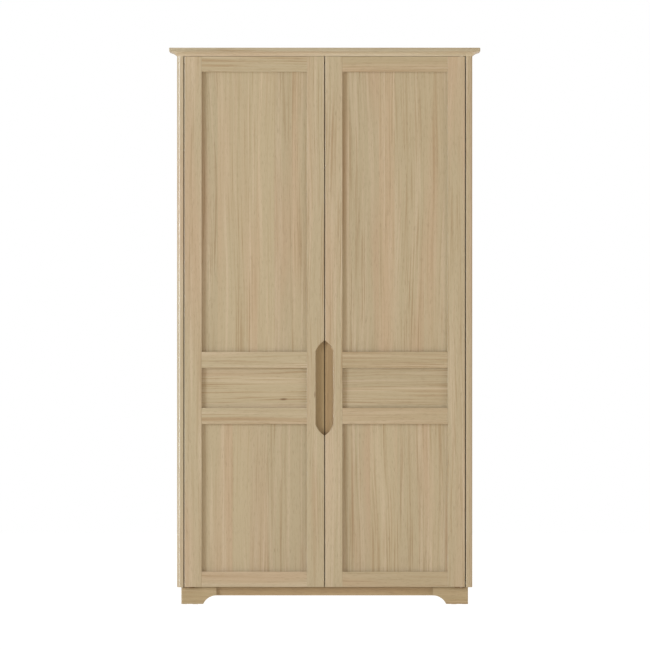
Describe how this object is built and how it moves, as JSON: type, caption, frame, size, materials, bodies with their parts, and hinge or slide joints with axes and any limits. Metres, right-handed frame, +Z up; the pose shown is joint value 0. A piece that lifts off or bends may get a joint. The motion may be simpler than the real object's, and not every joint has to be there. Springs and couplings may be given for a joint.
{
  "type": "wardrobe",
  "caption": "Free-standing light oak wardrobe: framed panel doors with a shared recessed grip, cove cornice, bracket feet, hat shelf and hanging rail.",
  "frame": {"origin": "on the floor, under the middle of the outline seen from above", "axes": "+Z up, the doors face -Y, +X is to the right for a person facing the doors"},
  "size_m": [1.062, 0.6, 1.9],
  "materials": {
    "oak": "satin lacquered light oak",
    "oak_ply": "oak-veneered plywood, satin",
    "pine": "planed, unfinished",
    "zinc": "zinc plated",
    "steel": "antique bronze plated, satin",
    "chrome_tube": "polished chrome plate",
    "white_plastic": "matt",
    "nylon": "natural nylon, matt",
    "brown_plastic": "matt",
    "clear_rubber": "soft translucent"
  },
  "bodies": {
    "case": {"left_side_panel": "oak", "right_side_panel": "oak", "top_board": "oak", "bottom_board": "oak", "cam_locks": "zinc", "cornice_board": "oak", "cornice_front_moulding": "oak", "cornice_left_moulding": "oak", "cornice_right_moulding": "oak", "cornice_back_rail": "oak", "back_panel_left": "oak_ply", "back_panel_right": "oak_ply", "back_cover_strip": "oak_ply", "hat_shelf": "oak", "shelf_supports": "zinc", "hanging_rail": "chrome_tube", "rail_sockets": "chrome_tube", "rail_socket_screws": "zinc", "front_left_foot": "oak", "front_right_foot": "oak", "left_front_foot_return": "oak", "right_front_foot_return": "oak", "left_rear_foot": "oak", "right_rear_foot": "oak", "plinth_front_rail": "oak", "plinth_left_rail": "oak", "plinth_right_rail": "oak", "plinth_back_rail": "oak", "plinth_corner_blocks": "pine", "floor_glides": "white_plastic", "pivot_case_leaves": "steel", "pivot_case_screws": "zinc", "pivot_pins": "steel", "pivot_washers": "nylon", "magnetic_catches": "brown_plastic", "door_bumpers": "clear_rubber"},
    "left_door": {"left_door_outer_stile": "oak", "left_door_meeting_stile": "oak", "left_door_top_rail": "oak", "left_door_upper_middle_rail": "oak", "left_door_lower_middle_rail": "oak", "left_door_bottom_rail": "oak", "left_door_upper_panel": "oak", "left_door_middle_panel": "oak", "left_door_lower_panel": "oak", "left_door_pivot_leaves": "steel", "left_door_leaf_screws": "zinc", "left_door_catch_plate": "zinc"},
    "right_door": {"right_door_outer_stile": "oak", "right_door_meeting_stile": "oak", "right_door_top_rail": "oak", "right_door_upper_middle_rail": "oak", "right_door_lower_middle_rail": "oak", "right_door_bottom_rail": "oak", "right_door_upper_panel": "oak", "right_door_middle_panel": "oak", "right_door_lower_panel": "oak", "right_door_pivot_leaves": "steel", "right_door_leaf_screws": "zinc", "right_door_catch_plate": "zinc"}
  },
  "joints": [
    {"name": "left_door_swing", "type": "hinge", "parent": "case", "child": "left_door", "pos_m": [-0.467, -0.266, 0.06], "axis": [0, 0, -1], "range_deg": [0, 110]},
    {"name": "right_door_swing", "type": "hinge", "parent": "case", "child": "right_door", "pos_m": [0.467, -0.266, 0.06], "axis": [0, 0, 1], "range_deg": [0, 110]}
  ]
}
